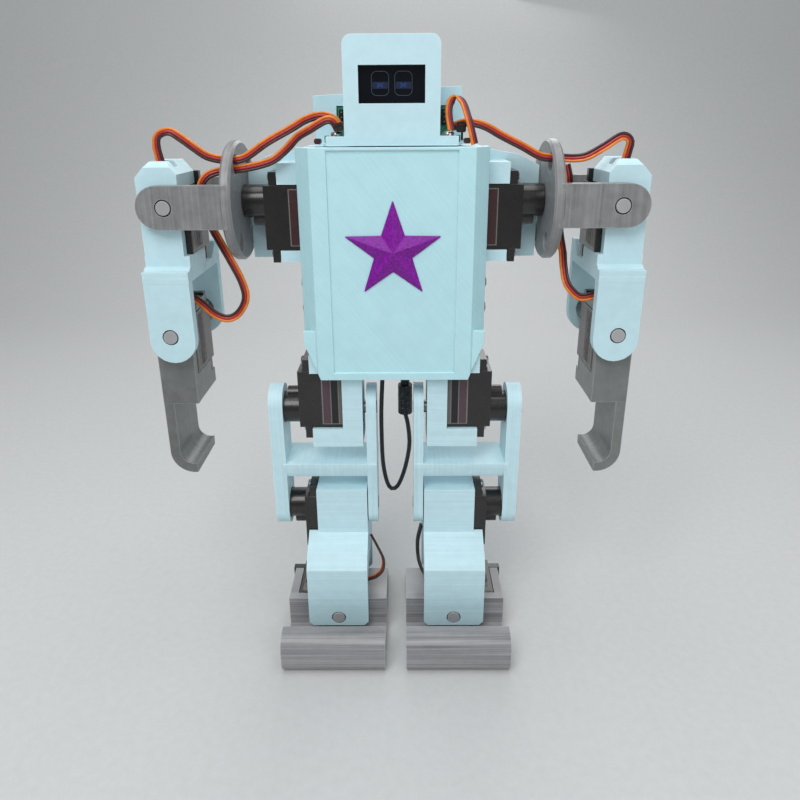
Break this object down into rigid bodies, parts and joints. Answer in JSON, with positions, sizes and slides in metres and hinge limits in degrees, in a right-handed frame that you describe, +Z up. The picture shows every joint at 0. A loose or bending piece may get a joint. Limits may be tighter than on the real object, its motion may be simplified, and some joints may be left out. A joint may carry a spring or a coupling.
{
  "type": "humanoid servo robot",
  "caption": "Small printed humanoid robot kit with hobby-servo joints, a chest cover with a star, hook hands and flat feet.",
  "frame": {"origin": "on the floor between the feet, under the middle of the bounding box", "axes": "+Z up through the head, the robot faces -Y, +X towards the robot's left hand"},
  "size_m": [0.1748, 0.084, 0.2274],
  "materials": {
    "pale_print": "layered print, satin",
    "grey_print": "layered silk print",
    "purple_print": "layered silk print",
    "servo_black": "moulded, semi-gloss",
    "steel_pin": "turned",
    "display": "glossy",
    "board": "solder mask",
    "battery": "shrink wrap",
    "black_rubber": "smooth",
    "servo_lead": "smooth"
  },
  "bodies": {
    "torso": {"torso_frame": "pale_print", "chest_cover": "pale_print", "chest_star": "purple_print", "head_shell": "pale_print", "face_display": "display", "back_shell": "pale_print", "control_board": "board", "battery_pack": "battery", "power_plug": "black_rubber", "power_lead": "black_rubber", "left_shoulder_servo": "servo_black", "left_hip_roll_servo": "servo_black", "left_shoulder_lead_a": "servo_lead", "left_shoulder_lead_b": "servo_lead", "right_shoulder_servo": "servo_black", "right_hip_roll_servo": "servo_black", "right_shoulder_lead_a": "servo_lead", "right_shoulder_lead_b": "servo_lead"},
    "left_yoke": {"left_shoulder_yoke": "grey_print", "left_roll_lead": "servo_lead", "left_elbow_lead_a": "servo_lead"},
    "left_upper_arm": {"left_upper_arm": "pale_print", "left_arm_servo": "servo_black", "left_shoulder_pin": "grey_print", "left_elbow_lead_b": "servo_lead"},
    "left_forearm": {"left_forearm_hook": "grey_print", "left_elbow_servo": "servo_black", "left_elbow_pin": "grey_print"},
    "left_hip": {"left_hip_bracket": "pale_print", "left_hip_servo": "servo_black", "left_hip_pin": "steel_pin"},
    "left_thigh": {"left_thigh_frame": "pale_print"},
    "left_shank": {"left_shank": "pale_print", "left_knee_servo": "servo_black", "left_knee_pin": "steel_pin", "left_ankle_lead": "black_rubber"},
    "left_foot": {"left_foot": "grey_print", "left_ankle_servo": "servo_black", "left_ankle_pin": "steel_pin"},
    "right_yoke": {"right_shoulder_yoke": "grey_print", "right_roll_lead": "servo_lead", "right_elbow_lead_a": "servo_lead"},
    "right_upper_arm": {"right_upper_arm": "pale_print", "right_arm_servo": "servo_black", "right_shoulder_pin": "grey_print", "right_elbow_lead_b": "servo_lead"},
    "right_forearm": {"right_forearm_hook": "grey_print", "right_elbow_servo": "servo_black", "right_elbow_pin": "grey_print"},
    "right_hip": {"right_hip_bracket": "pale_print", "right_hip_servo": "servo_black", "right_hip_pin": "steel_pin"},
    "right_thigh": {"right_thigh_frame": "pale_print"},
    "right_shank": {"right_shank": "pale_print", "right_knee_servo": "servo_black", "right_knee_pin": "steel_pin", "right_ankle_lead": "black_rubber"},
    "right_foot": {"right_foot": "grey_print", "right_ankle_servo": "servo_black", "right_ankle_pin": "steel_pin"}
  },
  "joints": [
    {"name": "left_shoulder_pitch", "type": "hinge", "parent": "torso", "child": "left_yoke", "pos_m": [0.0541, 0.0036, 0.174], "axis": [1, 0, 0], "range_deg": [-135, 45], "deforming": ["left_shoulder_lead_a"]},
    {"name": "left_shoulder_roll", "type": "hinge", "parent": "left_yoke", "child": "left_upper_arm", "pos_m": [0.0771, 0.0036, 0.174], "axis": [0, 1, 0], "range_deg": [-95, 10], "deforming": ["left_roll_lead", "left_elbow_lead_a"]},
    {"name": "left_elbow", "type": "hinge", "parent": "left_upper_arm", "child": "left_forearm", "pos_m": [0.08, 0.0036, 0.1283], "axis": [0, 1, 0], "range_deg": [-95, 12], "deforming": ["left_elbow_lead_b"]},
    {"name": "left_hip_roll", "type": "hinge", "parent": "torso", "child": "left_hip", "pos_m": [0.0216, 0.0036, 0.1286], "axis": [0, 1, 0], "range_deg": [-20, 0]},
    {"name": "left_hip_pitch", "type": "hinge", "parent": "left_hip", "child": "left_thigh", "pos_m": [0.0123, -0.0041, 0.0955], "axis": [1, 0, 0], "range_deg": [-80, 45]},
    {"name": "left_knee", "type": "hinge", "parent": "left_thigh", "child": "left_shank", "pos_m": [0.0123, -0.0041, 0.0526], "axis": [1, 0, 0], "range_deg": [-15, 90]},
    {"name": "left_ankle_roll", "type": "hinge", "parent": "left_shank", "child": "left_foot", "pos_m": [0.0233, 0.0036, 0.0105], "axis": [0, 1, 0], "range_deg": [-15, 15], "deforming": ["left_ankle_lead"]},
    {"name": "right_shoulder_pitch", "type": "hinge", "parent": "torso", "child": "right_yoke", "pos_m": [-0.0541, 0.0036, 0.174], "axis": [1, 0, 0], "range_deg": [-135, 45], "deforming": ["right_shoulder_lead_a", "right_shoulder_lead_b"]},
    {"name": "right_shoulder_roll", "type": "hinge", "parent": "right_yoke", "child": "right_upper_arm", "pos_m": [-0.0771, 0.0036, 0.174], "axis": [0, 1, 0], "range_deg": [-10, 95], "deforming": ["right_roll_lead", "right_elbow_lead_a"]},
    {"name": "right_elbow", "type": "hinge", "parent": "right_upper_arm", "child": "right_forearm", "pos_m": [-0.08, 0.0036, 0.1283], "axis": [0, 1, 0], "range_deg": [-12, 95], "deforming": ["right_elbow_lead_b"]},
    {"name": "right_hip_roll", "type": "hinge", "parent": "torso", "child": "right_hip", "pos_m": [-0.0216, 0.0036, 0.1286], "axis": [0, 1, 0], "range_deg": [0, 20]},
    {"name": "right_hip_pitch", "type": "hinge", "parent": "right_hip", "child": "right_thigh", "pos_m": [-0.0123, -0.0041, 0.0955], "axis": [1, 0, 0], "range_deg": [-80, 45]},
    {"name": "right_knee", "type": "hinge", "parent": "right_thigh", "child": "right_shank", "pos_m": [-0.0123, -0.0041, 0.0526], "axis": [1, 0, 0], "range_deg": [-15, 90]},
    {"name": "right_ankle_roll", "type": "hinge", "parent": "right_shank", "child": "right_foot", "pos_m": [-0.0233, 0.0036, 0.0105], "axis": [0, 1, 0], "range_deg": [-15, 15], "deforming": ["right_ankle_lead"]}
  ]
}
